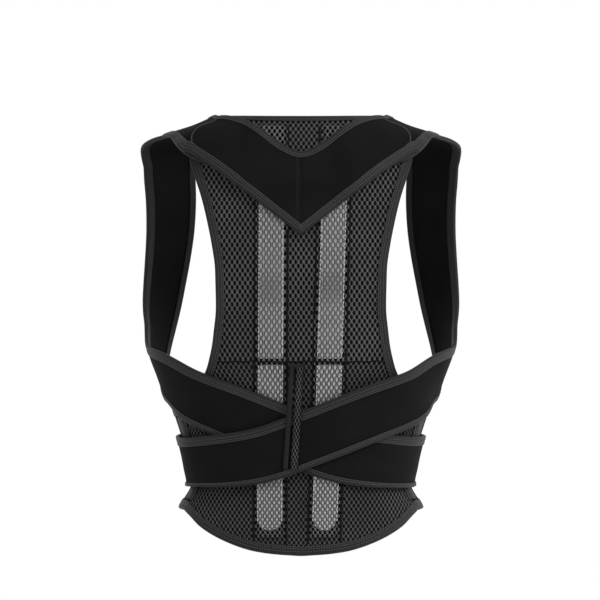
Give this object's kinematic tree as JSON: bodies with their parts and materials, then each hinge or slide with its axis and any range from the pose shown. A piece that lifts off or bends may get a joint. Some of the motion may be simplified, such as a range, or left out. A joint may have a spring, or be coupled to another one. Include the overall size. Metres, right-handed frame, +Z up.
{
  "type": "posture corrector",
  "caption": "Back brace in its worn shape: net back panel with flat stays, V-shaped yoke, shoulder straps that cross behind the waist under a keeper, and a belt that closes in front.",
  "frame": {"origin": "on the mirror plane of the body, at the height of the top of the shoulders and on the line that joins them", "axes": "+Z up along the wearer's spine, -Y out of the wearer's back, +X to the wearer's right"},
  "size_m": [0.3642, 0.2416, 0.4968],
  "materials": {
    "net": "open knitted net",
    "neoprene": "matt knit over thin foam",
    "tape": "ribbed binding tape",
    "stay": "satin"
  },
  "bodies": {
    "root": {"back_panel": "net", "keeper": "net", "yoke": "neoprene", "neck_binding": "tape", "hem_binding": "tape", "yoke_lower_binding": "tape", "yoke_upper_binding": "tape", "side_binding_left": "tape", "belt_left": "neoprene", "channel_left": "tape", "strap_left": "neoprene", "strap_upper_binding_left": "tape", "strap_lower_binding_left": "tape", "upper_pocket_left": "net", "upper_stay_left": "stay", "lower_pocket_left": "net", "lower_stay_left": "stay", "side_binding_right": "tape", "belt_right": "neoprene", "channel_right": "tape", "strap_right": "neoprene", "strap_upper_binding_right": "tape", "strap_lower_binding_right": "tape", "upper_pocket_right": "net", "upper_stay_right": "stay", "lower_pocket_right": "net", "lower_stay_right": "stay"}
  },
  "joints": []
}
